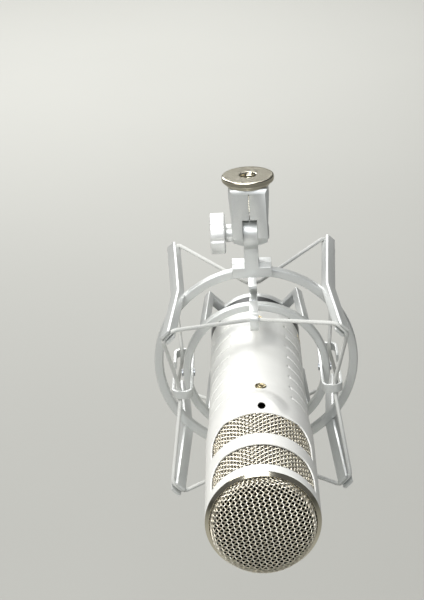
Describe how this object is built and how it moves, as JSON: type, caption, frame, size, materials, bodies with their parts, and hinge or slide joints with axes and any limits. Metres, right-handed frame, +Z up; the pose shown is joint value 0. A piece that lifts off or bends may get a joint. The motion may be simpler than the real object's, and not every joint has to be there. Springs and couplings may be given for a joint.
{
  "type": "ribbon microphone",
  "caption": "End-address ribbon microphone with a wire-mesh head, held by elastics in a ring shock mount that hangs from a tilting clevis on a stand thread.",
  "frame": {"origin": "mouth of the stand thread, in the middle of the thread adaptor's top face", "axes": "+Z up along the stand thread, -Y the way the microphone's grille faces, +X to the right when looking along +Y"},
  "size_m": [0.116, 0.2508, 0.1712],
  "materials": {
    "nickel_plate": "bright nickel plate over steel",
    "silver_paint": "satin silver-grey metallic paint over cast metal",
    "silver_bright": "light satin silver finish",
    "white_paint": "warm white satin paint",
    "grille_wire": "woven wire, nickel plated, over black",
    "black_plastic": "matt black",
    "black_foam": "open-cell black foam",
    "elastic_cord": "braided elastic, pale grey",
    "brass": "lacquered brass",
    "clear_lens": "smoked clear acrylic",
    "steel": "zinc-plated steel",
    "magnet": "nickel-coated neodymium",
    "foil": "corrugated foil",
    "rubber": "soft black rubber",
    "board_green": "green solder resist on glass-fibre board",
    "winding": "enamelled copper winding"
  },
  "bodies": {
    "stand": {"thread_adaptor": "nickel_plate"},
    "swivel": {"swivel_barrel": "silver_paint", "clamp_nut": "silver_paint"},
    "clamp_knob": {"thumb_knob": "silver_bright", "clamp_screw": "steel", "knob_spacer": "silver_bright"},
    "frame": {"tongue_saddle": "silver_paint", "outer_ring": "silver_paint", "front_elastic": "elastic_cord", "rear_elastic": "elastic_cord", "frame_arm_upper_right": "silver_paint", "frame_arm_lower_right": "silver_paint", "frame_arm_lower_left": "silver_paint", "frame_arm_upper_left": "silver_paint"},
    "lock_ring": {"lock_ring": "black_plastic"},
    "cradle": {"cradle_ring": "silver_paint", "hook_rivets": "steel", "rear_collar": "silver_paint", "body_shell": "white_paint", "front_bezel": "nickel_plate", "front_grille": "grille_wire", "pop_filter": "black_foam", "side_grille": "grille_wire", "side_liner": "black_foam", "status_lens": "clear_lens", "status_led": "clear_lens", "badge_disc": "brass", "chassis_screws": "brass", "rear_cap": "black_plastic", "socket_shell": "steel", "socket_insert": "black_plastic", "socket_pins": "brass", "ribbon": "foil", "ribbon_clamps": "brass", "ribbon_screws": "steel", "pole_pieces": "steel", "magnets": "magnet", "motor_frame": "steel", "motor_carrier": "black_plastic", "isolator_rings": "rubber", "chassis_tray": "steel", "transformer_core": "steel", "transformer_coil": "winding", "circuit_board": "board_green", "board_standoffs": "steel", "cradle_rib_upper_right": "silver_paint", "cradle_rib_lower_right": "silver_paint", "cradle_rib_lower_left": "silver_paint", "cradle_rib_upper_left": "silver_paint", "hook_strap_top": "silver_paint", "hook_strap_right": "silver_paint", "hook_strap_bottom": "silver_paint", "hook_strap_left": "silver_paint"}
  },
  "joints": [
    {"name": "stand_pan", "type": "hinge", "parent": "stand", "child": "swivel", "pos_m": [0, 0, 0], "axis": [0, 0, 1], "continuous": true},
    {"name": "knob_turn", "type": "hinge", "parent": "swivel", "child": "clamp_knob", "pos_m": [0, 0, -0.0335], "axis": [1, 0, 0], "continuous": true},
    {"name": "tilt", "type": "hinge", "parent": "swivel", "child": "frame", "pos_m": [0, 0, -0.0335], "axis": [1, 0, 0], "range_deg": [-90, 90]},
    {"name": "suspension", "type": "slide", "parent": "frame", "child": "cradle", "axis": [0, 0, 1], "range_m": [-0.004, 0.004], "stiffness_N_per_m": 2400, "deforming": ["front_elastic", "rear_elastic"]},
    {"name": "lock_ring_turn", "type": "hinge", "parent": "cradle", "child": "lock_ring", "pos_m": [0, 0.0415, -0.1132], "axis": [0, 1, 0], "continuous": true}
  ]
}
